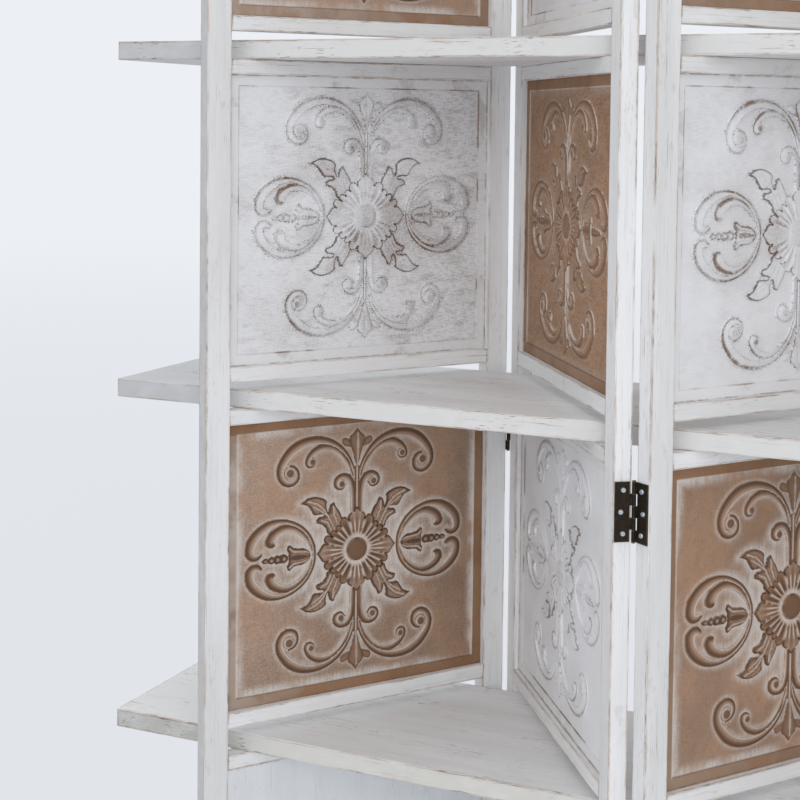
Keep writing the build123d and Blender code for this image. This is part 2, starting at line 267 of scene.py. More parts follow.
class StageSettings(bpy.types.PropertyGroup):
    focal_length: bpy.props.FloatProperty(
        name="Focal length", description="Camera's focal length for a 36 mm wide picture",
        default=72.356, min=10, max=300, unit="CAMERA")
    daylight: bpy.props.FloatProperty(
        name="Daylight", description="Even light from all round", default=0.79, min=0, max=3)
    window_power: bpy.props.FloatProperty(
        name="Window power", description="Large soft light at the front, on the right",
        default=31.0, min=0, max=1000, unit="POWER")
    backdrop: bpy.props.FloatVectorProperty(
        name="Backdrop", description="Pale colour behind the divider",
        default=(0.838, 0.863, 0.905), size=3, min=0, max=1, subtype="COLOR")


# ---------------------------------------------------------------- finishes


class Mixing:
    """A node tree being mixed: each method adds one node or two and gives back the result."""

    def __init__(self, owner, output):
        owner.use_nodes = True
        self.tree = owner.node_tree
        self.tree.nodes.clear()
        self.shown = self.tree.nodes.new(output).inputs["Surface"]

    def put(self, socket, value):
        if isinstance(value, bpy.types.NodeSocket):
            self.tree.links.new(value, socket)
        elif hasattr(value, "__len__") and len(value) == 3 and socket.type == "RGBA":
            socket.default_value = (*value, 1.0)
        else:
            socket.default_value = value

    def node(self, kind, inputs=(), output=0, **settings):
        made = self.tree.nodes.new(kind)
        for key, value in settings.items():
            setattr(made, key, value)
        for key, value in dict(inputs).items():
            self.put(made.inputs[key], value)
        return made.outputs[output]

    def place(self, turn=0.0, stretch=(1.0, 1.0, 1.0), shift=(0.0, 0.0, 0.0)):
        """Where a point lies on the piece, turned to the piece's own grain and stretched."""
        spot = self.node("ShaderNodeTexCoord", output="Object")
        turned = self.node("ShaderNodeMapping", {"Vector": spot, "Rotation": (0.0, 0.0, -math.radians(turn))})
        return self.node("ShaderNodeMapping", {"Vector": turned, "Scale": stretch, "Location": shift})

    def split(self, place):
        parts = self.tree.nodes.new("ShaderNodeSeparateXYZ")
        self.put(parts.inputs[0], place)
        return tuple(parts.outputs)

    def speckle(self, place, scale=1.0, detail=3.0, roughness=0.5, warp=0.0):
        return self.node("ShaderNodeTexNoise", {
            "Vector": place, "Scale": scale, "Detail": detail, "Roughness": roughness, "Distortion": warp})

    def fade(self, value, low, high, start=0.0, end=1.0):
        return self.node("ShaderNodeMapRange", {
            "Value": value, "From Min": low, "From Max": high, "To Min": start, "To Max": end},
            interpolation_type="SMOOTHSTEP")

    def maths(self, operation, first, second=0.0):
        return self.node("ShaderNodeMath", {0: first, 1: second}, operation=operation)

    def times(self, value, *others):
        for other in others:
            value = self.maths("MULTIPLY", value, other)
        return value

    def plus(self, first, second):
        return self.maths("ADD", first, second)

    def less(self, first, second):
        return self.maths("SUBTRACT", first, second)

    def most(self, first, second):
        return self.maths("MAXIMUM", first, second)

    def size(self, value):
        return self.maths("ABSOLUTE", value)

    def along(self, first, second):
        """How far one direction points along another."""
        return self.node("ShaderNodeVectorMath", {0: first, 1: second}, output="Value", operation="DOT_PRODUCT")

    def mix(self, amount, first, second, way="MIX"):
        return self.node("ShaderNodeMix", {0: amount, 6: first, 7: second}, output=2, data_type="RGBA", blend_type=way)

    def coats(self, ground, *coats):
        """Thin coats over a ground, one after another: how much of each, and its colour."""
        for amount, paint in coats:
            ground = self.mix(amount, ground, paint)
        return ground

    def reading(self, name):
        """A number that the carving left on the mesh."""
        return self.node("ShaderNodeAttribute", output="Fac", attribute_name=name)

    def seen(self):
        """1 to the camera and to mirrors, 0 to all other rays."""
        path = self.tree.nodes.new("ShaderNodeLightPath")
        return self.most(path.outputs["Is Camera Ray"], path.outputs["Is Glossy Ray"])

    def flatness(self, radius):
        """1 on a piece's flats, falling to about 0.7 on its arrises, over a radius from them."""
        rounded = self.node("ShaderNodeBevel", {"Radius": radius}, samples=6)
        return self.along(rounded, self.node("ShaderNodeNewGeometry", output="Normal"))


class Finish(Mixing):
    """A material being mixed round one shader."""

    def __init__(self, name):
        self.material = bpy.data.materials.new(name)
        super().__init__(self.material, "ShaderNodeOutputMaterial")
        self.surface = self.tree.nodes.new("ShaderNodeBsdfPrincipled")
        self.put(self.shown, self.surface.outputs["BSDF"])

    def finished(self, base, roughness, relief=None, metallic=0.0, specular=0.5):
        """The material, with its colour and roughness; relief is a height, how deep it is and how strong."""
        self.put(self.surface.inputs["Base Color"], base)
        self.put(self.surface.inputs["Roughness"], roughness)
        self.surface.inputs["Metallic"].default_value = metallic
        self.surface.inputs["Specular IOR Level"].default_value = specular
        if relief:
            height, depth, strength = relief
            self.put(self.surface.inputs["Normal"], self.node(
                "ShaderNodeBump", {"Height": height, "Distance": depth, "Strength": strength}))
        return self.material


def colour(red, green, blue):
    """A colour read off a picture, 0 to 255, as Blender mixes it."""
    shares = (level / 255 for level in (red, green, blue))
    return tuple(s / 12.92 if s <= 0.04045 else ((s + 0.055) / 1.055) ** 2.4 for s in shares)


def whitewashed_wood(name, grain, turn=0.0, wear=1.0, flecks=1.0, streaks=1.0, seed=0.0, cool=0.0,
                     shaded_face=None, overhang_light_and_shade=None):
    """Thin white paint on planed wood: fine grain, brown scratches, open pores, and edges rubbed to bare wood.

    cool greys the paint a little towards blue. Faces that look along the given direction take the given colour as a
    painted shade.
    The next argument is a shelf's colour past the outer stiles, then its shaded faces' colour there: light and shade
    painted on its ends.
    """
    settings = bpy.context.scene.divider_finish
    finish = Finish(name)
    fade, times, most = finish.fade, finish.times, finish.most

    def grain_place(cross, length):
        """Repeats cross times a metre over the grain and length times along it."""
        stretch = tuple(length if axis == grain else cross for axis in "xyz")
        return finish.place(turn, stretch, (seed, seed * 0.7, seed * 1.3))

    def grained(cross, length, detail=3.0, roughness=0.55, warp=0.0):
        return finish.speckle(grain_place(cross, length), 1.0, detail, roughness, warp)

    broad = grained(16, 2.2, 4.0, 0.6)
    brushed = grained(420, 9, 5.0, 0.7)
    fine = grained(1100, 24, 3.0, 0.65, 0.3)
    pores = grained(900, 75, 2.0, 0.5)
    scratches = grained(760, 12, 4.0, 0.6)
    patches = grained(30, 9, 3.0, 0.6)
    smudges = grained(60, 34, 4.0, 0.65)
    knots = finish.node("ShaderNodeTexVoronoi", {
        "Vector": grain_place(9, 2.6), "Scale": 1.0, "Randomness": 1.0}, output="Distance")
    flat = finish.flatness(settings.edge_wear)

    wash = finish.coats(
        finish.mix(fade(broad, 0.36, 0.68), tuple(settings.whitewash), tuple(settings.thin_wash)),
        (cool, colour(204, 213, 221)),
        (times(fade(brushed, 0.50, 0.70), 0.26 * streaks), colour(198, 196, 194)),
        (times(fade(fine, 0.58, 0.74), 0.30 * streaks), colour(170, 162, 156)),
        (times(fade(smudges, 0.60, 0.72), 0.25 * streaks), colour(176, 172, 170)),
        (times(fade(knots, 0.10, 0.015), 0.4), colour(190, 168, 146)))
    # Past the outer stiles the shelf's ends turn to painted light and shade.
    if overhang_light_and_shade:
        past_stile = fade(finish.size(finish.split(finish.place(turn))[0]), *OVERHANG_FADE)
        wash = finish.mix(times(past_stile, 0.8), wash, overhang_light_and_shade[0])
    # Faces that look the given way take a darker colour: painted shade.
    if shaded_face:
        looks, shade_colour = shaded_face
        if overhang_light_and_shade:
            shade_colour = finish.mix(past_stile, shade_colour, overhang_light_and_shade[1])
        facing = finish.node("ShaderNodeMapping", {
            "Vector": finish.node("ShaderNodeTexCoord", output="Normal"), "Rotation": (0.0, 0.0, -math.radians(turn))})
        face_shade = times(fade(finish.along(facing, looks), 0.75, 0.95), fade(smudges, 0.34, 0.56, 0.7, 0.95))
        wash = finish.mix(face_shade, wash, shade_colour)
    thin_lines = times(fade(scratches, 0.62, 0.70), fade(patches, 0.44, 0.58))
    open_pores = times(fade(pores, 0.63, 0.69), fade(patches, 0.50, 0.62), 0.85 * flecks)
    near_edge = times(fade(flat, 0.999, 0.975), fade(scratches, 0.50, 0.58), fade(smudges, 0.40, 0.56, 0.1, 0.9))
    on_edge = times(fade(flat, 0.985, 0.90), fade(patches, 0.43, 0.54, 0.08, 1.0))
    nicks = times(fade(flat, 0.9995, 0.98), fade(pores, 0.55, 0.61), fade(patches, 0.47, 0.56, 0.0, 0.85 * wear))
    wash = finish.coats(
        wash,
        (times(thin_lines, 0.72 * wear), colour(156, 132, 113)),
        (open_pores, colour(104, 88, 78)),
        (times(most(near_edge, on_edge), 0.95 * wear), tuple(settings.bare_wood)),
        (nicks, colour(96, 82, 72)))
    uneven = finish.plus(times(fine, 0.5), times(brushed, 0.8))
    uneven = finish.less(uneven, times(most(open_pores, thin_lines), 0.8))
    return finish.finished(wash, fade(brushed, 0.3, 0.7, 0.55, 0.72), (uneven, 0.0005, 0.5), specular=0.35)


def carved_board_finish(name, tan):
    """Finish of a carved board, tan or white: woven-looking ground, haze round the carving, glaze in its hollows."""
    settings = bpy.context.scene.divider_finish
    finish = Finish(name)
    fade, times, plus, less = finish.fade, finish.times, finish.plus, finish.less
    most, size, mix, coats = finish.most, finish.size, finish.mix, finish.coats
    seed = finish.reading("board_seed")
    spot = finish.node("ShaderNodeTexCoord", output="Object")
    rightward, inward, upward = finish.split(spot)
    drift = finish.node("ShaderNodeVectorMath", {
        0: spot, 1: finish.node("ShaderNodeCombineXYZ", {0: seed, 1: seed, 2: seed})}, operation="ADD")

    def grain(across, up, detail=3.0, roughness=0.55):
        stretched = finish.node("ShaderNodeMapping", {"Vector": drift, "Scale": (across, 40.0, up)})
        return finish.speckle(stretched, detail=detail, roughness=roughness)

    upright = grain(900, 120)
    level = grain(120, 900)
    weave = times(plus(upright, level), 0.5)
    clouds = grain(13, 13, 4.0, 0.6)
    mottle = grain(70, 55, 4.0, 0.65)
    streaks = grain(330, 34, 4.0, 0.6)
    smudges = grain(34, 90, 5.0, 0.7)
    grit = grain(480, 640, 3.0, 0.7)

    outside, glaze, rub, haze, drawn, wear = (finish.reading(mark) for mark in (
        "outside_carving", "dark_glaze", "rubbed_white", "white_haze", "drawn_edge", "board_wear"))
    # The board's darkening: stain, and painted shade where less light reaches it, with a random tone from the clouds.
    shade_and_stain = plus(finish.reading("board_shade_and_stain"), fade(clouds, 0.34, 0.66, -0.16, 0.16))
    shade_and_stain = finish.node("ShaderNodeClamp", {"Value": shade_and_stain})
    lit_and_clean = less(1.0, shade_and_stain)
    carved = fade(outside, 0.5, -0.1)
    side = times(size(rightward), 1000)
    rise = times(size(upward), 1000)
    past_side = less(side, FIELD_HALF[0] - 0.3)
    past_level = less(rise, FIELD_HALF[1] - 0.3)
    past_step = most(past_side, past_level)
    front = fade(inward, 0.0112, 0.0105)
    border = times(fade(past_step, -0.3, 0.3), front)
    step_line = times(fade(size(past_step), 1.2, 0.4), front)
    joint = times(most(fade(side, 169.0, 170.6), fade(rise, 160.5, 162.1)), front, fade(mottle, 0.42, 0.58, 0.15, 0.9))

    if tan:
        near_step = times(fade(past_step, -16.0, 0.0), fade(clouds, 0.36, 0.60, 0.15, 0.8), front)
        frost = times(most(haze, near_step), fade(streaks, 0.30, 0.62, 0.7, 1.0))
        ragged = less(plus(times(mottle, 0.9), times(grit, 0.9)), 0.9)
        frost = fade(plus(frost, times(frost, ragged)), 0.02, 0.88)
        light = mix(fade(clouds, 0.36, 0.66), tuple(settings.tan_field), colour(164, 127, 98))
        veil = times(fade(grit, 0.36, 0.64, 0.10, 0.30), fade(clouds, 0.34, 0.60, 0.4, 1.0), lit_and_clean,
                     plus(times(wear, 1.7), 0.1))
        rough = fade(wear, 0.0, 0.6, 0.5, 0.0)
        # The first coat darkens the ground by the stain and painted shade.
        ground = coats(
            light,
            (shade_and_stain, mix(1.0, light, (0.56, 0.56, 0.56), "MULTIPLY")),
            (fade(weave, 0.40, 0.62, 0.0, 0.26), colour(104, 75, 54)),
            (times(fade(mottle, 0.48, 0.66), 0.22), colour(112, 82, 60)),
            (veil, colour(210, 200, 192)),
            (times(fade(grit, 0.50, 0.61), rough), colour(98, 70, 52)),
            (times(fade(grit, 0.50, 0.40), rough), colour(196, 160, 130)),
            (times(frost, fade(wear, 0.0, 0.6, 0.16, 0.9), less(1.0, times(carved, 0.9))), colour(216, 209, 203)))

        below_top = most(fade(past_level, 0.5, -2.0), fade(upward, 0.0, -0.02))
        whitened = times(fade(clouds, 0.40, 0.58, 0.3, 1.0), fade(lit_and_clean, 0.55, 1.0), fade(wear, 0.1, 1.0, 0.1, 0.85),
                         below_top)
        edging = coats(
            mix(fade(clouds, 0.35, 0.65), colour(140, 106, 78), colour(156, 121, 94)),
            (fade(weave, 0.40, 0.62, 0.0, 0.18), colour(112, 82, 61)),
            (whitened, colour(208, 200, 192)))
        ledge = times(fade(size(plus(past_side, 1.2)), 2.2, 0.6), front, fade(past_level, 0.5, -0.5),
                      fade(mottle, 0.36, 0.60, 0.45, 1.0), fade(wear, 0.0, 1.0, 0.15, 0.6))
        below = times(fade(upward, -0.1488, -0.1496), fade(past_side, 0.0, -1.0))
        ground = coats(
            ground,
            (border, edging),
            (ledge, colour(222, 208, 198)),
            (times(less(step_line, below), fade(clouds, 0.38, 0.58, 0.2, 0.7)), colour(208, 198, 190)),
            (times(step_line, below, 0.4), colour(82, 58, 42)),
            (times(joint, 0.6), colour(96, 72, 56)))

        deep_glaze = times(glaze, fade(wear, 0.0, 0.6, 0.55, 1.0))
        shine = times(rub, fade(wear, 0.0, 0.6, 0.4, 1.0), fade(mottle, 0.30, 0.58, 0.5, 1.0))
        # Painted highlight: a white rim round the forms on the less worn boards, kept to the slopes that face up and to
        # the right.
        facing_light = finish.along(finish.node("ShaderNodeTexCoord", output="Normal"), (0.55, 0.0, 0.83))
        rim = times(fade(size(less(outside, 0.2)), 1.5, 0.3), fade(mottle, 0.40, 0.52), fade(wear, 0.0, 0.8, 1.0, 0.0),
                    fade(facing_light, -0.02, 0.16, 0.1, 1.0))
        worn = coats(
            ground,
            (fade(deep_glaze, 0.05, 0.55, 0.0, 0.9), colour(130, 97, 73)),
            (fade(deep_glaze, 0.40, 1.0, 0.0, 0.95), tuple(settings.dark_glaze)),
            (times(shine, 0.92), colour(220, 209, 200)),
            (rim, colour(214, 205, 196)))
    else:
        canvas = fade(plus(times(level, 0.65), times(upright, 0.35)), 0.46, 0.62)
        dusty = times(most(fade(smudges, 0.50, 0.66), times(haze, fade(clouds, 0.42, 0.56))), wear,
                      less(1.0, times(border, 0.85)))
        # Canvas marks and dust grow with the stain and painted shade.
        ground = coats(
            mix(fade(clouds, 0.36, 0.66), colour(238, 239, 242), colour(229, 229, 231)),
            (times(canvas, shade_and_stain, plus(times(wear, 0.44), 0.07)), colour(150, 145, 144)),
            (times(dusty, fade(shade_and_stain, 0.0, 1.0, 0.06, 0.34)), colour(160, 153, 150)),
            (times(fade(grit, 0.54, 0.62), dusty, fade(shade_and_stain, 0.1, 0.9, 0.2, 0.7)), colour(126, 116, 110)),
            (times(border, 0.7), colour(233, 233, 234)),
            (times(step_line, fade(clouds, 0.46, 0.58, 0.12, 0.85)),
             mix(fade(clouds, 0.52, 0.60), colour(168, 162, 158), colour(126, 104, 88))),
            (times(joint, 0.75), colour(138, 116, 98)))

        shaded = times(fade(glaze, 0.50, 0.86), fade(clouds, 0.38, 0.54, 0.3, 1.0), fade(grit, 0.44, 0.56, 0.15, 1.0))
        spatter = times(fade(size(outside), 2.6, 0.5), fade(grit, 0.53, 0.59), fade(mottle, 0.42, 0.54), wear)
        crisp_line = times(fade(drawn, 0.35, 0.7), fade(mottle, 0.30, 0.50, 0.7, 1.0))
        scuff = times(fade(clouds, 0.535, 0.60), fade(mottle, 0.40, 0.50),
                      most(fade(glaze, 0.35, 0.7), times(border, 0.3)))
        worn = coats(
            ground,
            (times(glaze, 0.17), colour(166, 159, 155)),
            (times(shaded, fade(wear, 0.0, 1.0, 0.7, 0.95)), colour(116, 99, 89)),
            (times(spatter, 0.8), colour(98, 84, 76)),
            (times(crisp_line, fade(wear, 0.0, 1.0, 0.48, 0.78)), colour(94, 79, 71)),
            (times(scuff, fade(wear, 0.0, 1.0, 0.3, 0.9)), colour(124, 92, 70)))
    woven = plus(weave, times(streaks, 0.4))
    return finish.finished(worn, fade(mottle, 0.3, 0.7, 0.55, 0.72), (woven, 0.0005, 0.5), specular=0.22)


def plated_metal(name, blotches, detail, change, shades, metallic, roughness, relief, rubbed=None):
    """Metal that varies in small blotches between two shades; rubbed is the colour of its worn edges."""
    finish = Finish(name)
    blotch = finish.speckle(finish.place(stretch=(blotches,) * 3), detail=detail, roughness=0.6)
    plate = finish.mix(finish.fade(blotch, 0.35, change), *shades)
    height = blotch
    if rubbed:
        height = finish.speckle(finish.place(stretch=(900, 900, 120)), detail=2.0)
        worn = finish.fade(finish.flatness(0.0009), 0.995, 0.82)
        plate = finish.mix(finish.times(worn, finish.fade(blotch, 0.35, 0.6, 0.45, 1.0)), plate, rubbed)
    return finish.finished(plate, finish.fade(blotch, 0.3, 0.7, *roughness), (height, *relief), metallic)


def dress(nodes, material):
    for name in nodes:
        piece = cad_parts[name]
        for place in piece.material_slots:
            place.material = material
        if not piece.material_slots:
            piece.data.materials.append(material)


# ---------------------------------------------------------------- carving


def smooth_line(points, step):
    """A smooth line through the points, with the width eased along it; shorter steps where it curls."""
    data = np.array(points, float)
    padded = np.vstack([2 * data[0] - data[1], data, 2 * data[-1] - data[-2]])
    fine = []
    for before, here, there, after in zip(padded[:-3], padded[1:-2], padded[2:-1], padded[3:]):
        for s in np.linspace(0, 1, 16, endpoint=False):
            fine.append(0.5 * (2 * here + (there - before) * s + (2 * before - 5 * here + 4 * there - after) * s**2
                               + (3 * here - before - 3 * there + after) * s**3))
    fine = np.array(fine + [data[-1]])
    kept, run, turned = [fine[0]], 0.0, 0.0
    old = None
    for here, there in zip(fine[:-1], fine[1:]):
        piece = there[:2] - here[:2]
        run += float(np.hypot(*piece))
        if old is not None:
            turned += abs(math.atan2(old[0] * piece[1] - old[1] * piece[0], float(old @ piece)))
        old = piece
        if run >= step or (turned > 0.26 and run > 0.9):
            kept.append(there)
            run, turned = 0.0, 0.0
    if run > 0.4:
        kept.append(fine[-1])
    return np.array(kept)


def leftward(run):
    """The way to the left of each run, one millimetre long."""
    run = run / np.maximum(np.linalg.norm(run, axis=1), 1e-9)[:, None]
    return np.stack([-run[:, 1], run[:, 0]], axis=1)


def reach_of_runs(spots, start, run):
    """From each spot to each run of a line: the way from the run's start, the share along it and the distance."""
    away = spots[:, None, :] - start[None]
    share = np.clip((away * run[None]).sum(2) / (run**2).sum(1)[None], 0, 1)
    gap = away - share[..., None] * run[None]
    return away, share, np.hypot(gap[..., 0], gap[..., 1])


def nearest_on_line(spots, line):
    """For each spot, its distance to the left of a line and the line's half width there."""
    run = np.diff(line[:, :2], axis=0)
    away, share, distance = reach_of_runs(spots, line[:-1, :2], run)
    pick = distance.argmin(1)
    rows = np.arange(len(spots))
    half = line[pick, 2] + share[rows, pick] * (line[pick + 1, 2] - line[pick, 2])
    side = np.sign(run[pick, 0] * away[rows, pick, 1] - run[pick, 1] * away[rows, pick, 0])
    return side * distance[rows, pick], half


def inside_distance(spots, outline):
    """Distance to a closed outline, positive inside it."""
    start = np.array(outline, float)
    end = np.roll(start, -1, axis=0)
    run = end - start
    distance = reach_of_runs(spots, start, run)[2].min(1)
    across, up = spots[:, None, 0], spots[:, None, 1]
    crosses = (start[:, 1] > up) != (end[:, 1] > up)
    rise = np.where(run[:, 1] == 0, 1e-9, run[:, 1])
    at = start[:, 0] + run[:, 0] * (up - start[:, 1]) / rise
    inside = (crosses & (across < at)).sum(1) % 2 == 1
    return np.where(inside, distance, -distance)


def section_at(place, section):
    """Height, glaze and rubbing read off a section at a place across it."""
    table = np.array(section, float)
    return [np.interp(place, table[:, 0], table[:, n]) for n in (1, 2, 3)]


def by_ridge(spots, past):
    """Which spots lie on the ridge between the scrolls' stems, or no more than past beside it."""
    return (spots[:, 0] < RIDGE_ROWS[-1] + past) & (spots[:, 1] > RIDGE_ENDS[0]) & (spots[:, 1] < RIDGE_ENDS[1])


def petal_edge(angle):
    """The flower's radius at an angle in the right upper quarter, with the petal's own place across it."""
    radius = np.zeros_like(angle)
    across = np.zeros_like(angle)
    broad = np.zeros_like(angle, bool)
    for axis, spread, tip, notch, kind in PETALS:
        here = np.abs(angle - axis) <= spread + 1e-6
        t = np.clip((angle - axis) / spread, -1, 1)
        shape = np.interp(np.abs(t), *BROAD_TIP) if kind == "broad" else np.sqrt(np.clip(1 - t**2, 0, 1))
        radius = np.where(here, notch + (tip - notch) * shape, radius)
        across = np.where(here, t, across)
        broad = np.where(here, kind == "broad", broad)
    return radius, across, broad


def edge_at(angle):
    """The flower's radius at one angle, and the way there from its centre."""
    turn = math.radians(angle)
    return float(petal_edge(np.array([angle]))[0][0]), np.array([math.cos(turn), math.sin(turn)])


def closed_flower():
    """The flower's scalloped edge, closed far outside the quarter so that only the scallops count as its outline."""
    line = []
    for axis, spread, _, _, kind in PETALS:
        for angle in axis + np.array(EDGE_PLACES[kind]) * spread * 0.999:
            if -0.01 <= angle <= 90.01:
                edge, way = edge_at(angle)
                line.append(tuple(edge * way))
    return [(-30.0, -30.0), (line[0][0], -30.0)] + line + [(-30.0, line[-1][1])]


def flower_relief(spots):
    """Height, glaze, rubbing, distance outside and drawn edge of the centre flower and its boss."""
    reach = np.hypot(spots[:, 0], spots[:, 1])
    angle = np.degrees(np.arctan2(spots[:, 1], np.maximum(spots[:, 0], 1e-9)))
    edge, across, broad = petal_edge(angle)
    share = np.clip((reach - RING_RADIUS) / (edge - RING_RADIUS), 0, 1)
    rim = inside_distance(spots, closed_flower())
    t = np.abs(across)
    flute = np.interp(t, [0, 0.4, 0.78, 1.0], [0.32, 0.5, 0.92, 1.0])
    fold = np.interp(t, [0, 0.14, 0.34, 0.5, 0.7, 1.0], [0.72, 0.7, 0.95, 0.7, 0.8, 0.72])
    body = np.where(broad, fold, flute)
    lip = (np.interp(share, [0, 0.12, 0.82, 1.0], [0.55, 0.85, 1.0, 0.96])
           * np.interp(rim, [0, 0.5, 1.1], [0, 0.6, 1.0]))
    fill = np.interp(share, [0.0, 0.75, 0.93], [0.0, 0.0, 0.25])
    height = (body + (0.75 - body) * fill) * lip
    in_flute = np.interp(t, [0, 0.4, 0.78, 1.0], [1.0, 0.95, 0.15, 0.05])
    in_fold = np.interp(t, [0, 0.2, 0.34, 0.5, 1.0], [0.62, 0.55, 0.1, 0.6, 0.72])
    dark = np.where(broad, in_fold, in_flute) * np.interp(share, [0, 0.1, 0.6, 0.85, 1.0], [0.1, 1.0, 0.85, 0.5, 0.4])
    dark = np.maximum(dark * 0.85, np.interp(rim, [0.0, 0.5, 1.1, 2.2], [1.0, 1.0, 0.92, 0.0]))
    white = np.where(
        broad, np.interp(t, [0.14, 0.34, 0.5], [0.0, 1.0, 0.0]) * np.interp(share, [0.5, 0.64], [1.0, 0.0]),
        np.interp(t, [0.72, 0.92], [0.0, 1.0]) * np.interp(share, [0.8, 0.96], [0.95, 0.0]))
    white = np.maximum(white, np.interp(share, [0.0, 0.12], [0.8, 0.0])) * np.interp(rim, [0.8, 1.8], [0.0, 1.0])
    ring = reach < RING_RADIUS
    boss = np.interp(reach, [0, 8, 11.5, 13.0, 13.7, 14.6, 17], [1.15, 1.1, 0.98, 0.75, 0.34, 0.3, 0.47])
    height = np.where(ring, boss, height)
    dark = np.where(ring, np.interp(reach, [0, 10, 12.4, 13.4, 14.0], [0.6, 0.6, 0.7, 0.9, 0.0]), dark)
    white = np.where(ring, np.interp(reach, [13.5, 14.2, 17], [0.0, 1.0, 0.9]), white)
    drawn = np.interp(rim, [0.0, 0.9, 1.6], [0.9, 0.7, 0.0])
    height, dark, white, drawn = (np.where(rim > 0, found, 0) for found in (height, dark, white, drawn))
    return height, dark, white, -rim, drawn


def relief_at(spots):
    """Height (1 is the full relief), glaze, rubbing, distance outside and drawn edges of the whole carving."""
    folded = np.abs(spots)
    height, dark, white, outside, drawn = flower_relief(folded)
    off_flower = outside > 0

    def take(more, glaze, rub, away, line=0.0):
        """Lays one more form over the carving wherever it stands higher."""
        nonlocal height, dark, white, outside, drawn
        above = more > height
        dark = np.where(above, glaze, dark)
        white = np.where(above, rub, white)
        drawn = np.where(above, line, drawn)
        height = np.maximum(height, more)
        outside = np.minimum(outside, away)

    for points, roll in SCROLLS.values():
        off, half = nearest_on_line(folded, smooth_line(points, 1.2))
        up, glaze, rub = section_at(off / half, SCROLL_SECTION)
        tall = np.clip(half / 3.2, 0.35, 1.0)
        take(np.where(np.abs(off) < half, up * tall, 0), glaze, rub, np.abs(off) - half)
        if roll:
            x, y, radius = roll
            reach = np.hypot(folded[:, 0] - x, folded[:, 1] - y)
            up, glaze, rub = section_at(reach / radius, ROLL_SECTION)
            take(np.where(reach < radius, up * min(1.15, radius / 4.3), 0), glaze, rub, reach - radius)
    ridge = by_ridge(folded, 0.01) & off_flower
    height, dark, white = (np.where(ridge, its, other) for its, other in zip(
        section_at(folded[:, 0], RIDGE_SECTION), (height, dark, white)))
    drawn = np.where(ridge, np.interp(folded[:, 0], [0.9, 1.6, 2.3], [0.0, 0.85, 0.0]), drawn)
    outside = np.where(ridge, np.minimum(outside, -0.5), outside)
    for outline, veins, all_over, edge, edge_glaze in LEAVES.values():
        deep = inside_distance(folded, outline)
        signed = [nearest_on_line(folded, np.array([(x, y, 1.0) for x, y in vein]))[0] for vein in veins]
        off = np.min([np.abs(one) for one in signed] or [np.full(len(folded), 9.0)], axis=0)
        below = signed[0] < 0 if signed else np.zeros(len(folded), bool)
        up = np.interp(deep, [0, 0.5, 1.2, 3.0], [0, 0.45, 0.72, 0.9]) - np.interp(off, [0, 0.9], [0.22, 0.0])
        up += 0.12 * (all_over > 0.5)
        glaze = np.maximum(np.interp(deep, [0, 1.3, 2.4], [edge_glaze, 0.92 * edge_glaze, 0.15]),
                           np.interp(off, [0.7, 1.3, 2.6], [0.0, 0.7, 0.1]))
        shaded = np.interp(deep, [1.2, 3.4], [0.8 * edge_glaze, all_over])
        glaze = np.maximum(glaze, np.where(below, shaded, all_over))
        rub = np.interp(off, [0, 0.7, 1.2], [0.9, 0.5, 0.0]) * np.interp(deep, [0, 1.2], [0, 1])
        take(np.where((deep > 0) & off_flower, np.maximum(up, 0.02), 0), glaze, rub, -deep,
             edge * np.interp(deep, [0, 1.2, 2.0], [1.0, 0.9, 0.0]))
    for x, y, wide, tall in BEADS:
        reach = np.hypot((folded[:, 0] - x) / wide, (folded[:, 1] - y) / tall)
        take(0.75 * np.sqrt(np.clip(1 - reach**2, 0, 1)), np.interp(reach, [0.2, 0.55, 0.8, 1.0], [0.4, 0.8, 1.0, 0.9]),
             np.interp(reach, [0, 0.35], [0.5, 0.0]), (reach - 1) * min(wide, tall))
    return height, dark, white, outside, drawn


def densify(outline, step):
    """More points along a closed outline."""
    points = []
    for here, there in zip(outline, outline[1:] + outline[:1]):
        count = max(1, round(math.dist(here, there) / step))
        points += [(here[0] + (there[0] - here[0]) * n / count, here[1] + (there[1] - here[1]) * n / count)
                   for n in range(count)]
    return points


def outline_rings(outline, step):
    """Points on a closed outline and on rings just outside and inside it."""
    rim = np.array(densify(outline, step))
    left = leftward(np.roll(rim, -1, axis=0) - np.roll(rim, 1, axis=0))
    rings = [rim]
    for way in (1, -1):
        for depth in (-0.5, 0.7, 1.6):
            moved = rim + way * depth * left
            deep = inside_distance(moved, outline)
            rings.append(moved[deep < -0.35] if depth < 0 else moved[deep > depth * 0.8])
    return rings


def round_spots(centre, reach, turns):
    """Points round a centre; reach is a radius, or one across and one up."""
    return np.array(centre) + np.array(reach) * np.stack([np.cos(turns), np.sin(turns)], axis=1)


def full_turn(count):
    return np.arange(count) * 2 * math.pi / count


def scroll_points(points, roll, step):
    """Points along one scroll and round its end."""
    line = smooth_line(points, step)
    left = leftward(np.gradient(line[:, :2], axis=0))
    spots = [line[:, :2] + left * (place * line[:, 2])[:, None] for place, *_ in SCROLL_SECTION]
    spots += [line[:, :2] + left * (way * (line[:, 2] + 0.5))[:, None] for way in (-1, 1)]
    if roll:
        tip, start, size, spread = roll[:2], -math.pi, roll[2], 2 * math.pi
        shares = {share for share, *_ in ROLL_SECTION} | {1.08}
    else:
        tip, (across, up) = line[-1, :2], line[-1, :2] - line[-2, :2]
        start, size, spread = math.atan2(up, across) - math.pi / 2, line[-1, 2], math.pi
        shares = {abs(place) for place, *_ in SCROLL_SECTION} | {1.12}
    for share in sorted(shares):
        count = max(2, round(spread * share * size / 1.3))
        spots.append(round_spots(tip, share * size, start + np.linspace(0, spread, count, endpoint=not roll)))
    return spots


